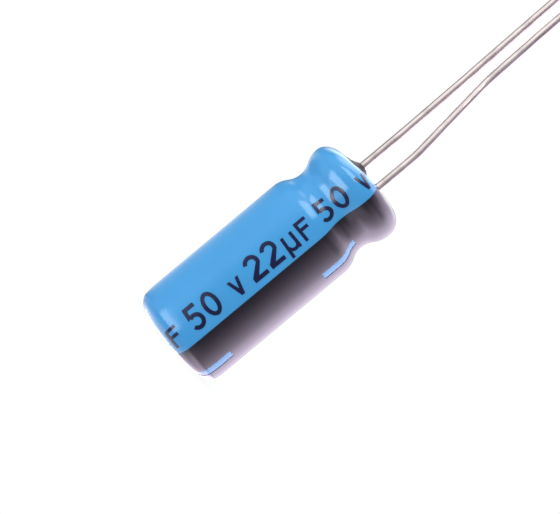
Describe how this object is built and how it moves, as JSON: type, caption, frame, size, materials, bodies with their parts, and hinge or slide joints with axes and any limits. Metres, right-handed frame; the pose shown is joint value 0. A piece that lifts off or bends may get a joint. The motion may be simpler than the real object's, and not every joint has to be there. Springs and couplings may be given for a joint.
{
  "type": "electrolytic capacitor",
  "caption": "Small radial electrolytic capacitor: sleeved aluminium can with a polarity stripe, sealed by a rubber bung, on two wire leads.",
  "frame": {"origin": "centre of the closed end, on the surface that the capacitor stands on", "axes": "+Z along the can's axis from the closed end to the leads; the negative lead leaves at +X and the positive lead at -X"},
  "size_m": [0.0052, 0.0052, 0.0318],
  "materials": {
    "blue_sleeve": "glossy heat-shrunk sleeve",
    "stripe_ink": "dark printed stripe under the same gloss",
    "rating_ink": "dark printed figures",
    "drawn_aluminium": "drawn and trimmed sheet",
    "bung_rubber": "moulded, matt",
    "winding_paper": "soaked paper and foil edges",
    "winding_tape": "thin film tape",
    "tab_aluminium": "pressed and etched",
    "tinned_wire": "bright tin plating with small handling marks"
  },
  "bodies": {
    "root": {"sleeve": "blue_sleeve", "stripe_print": "stripe_ink", "rating_print": "rating_ink", "can": "drawn_aluminium", "bung": "bung_rubber", "winding": "winding_paper", "winding_tape": "winding_tape", "positive_tab": "tab_aluminium", "negative_tab": "tab_aluminium", "positive_lead": "tinned_wire", "negative_lead": "tinned_wire"}
  },
  "joints": []
}
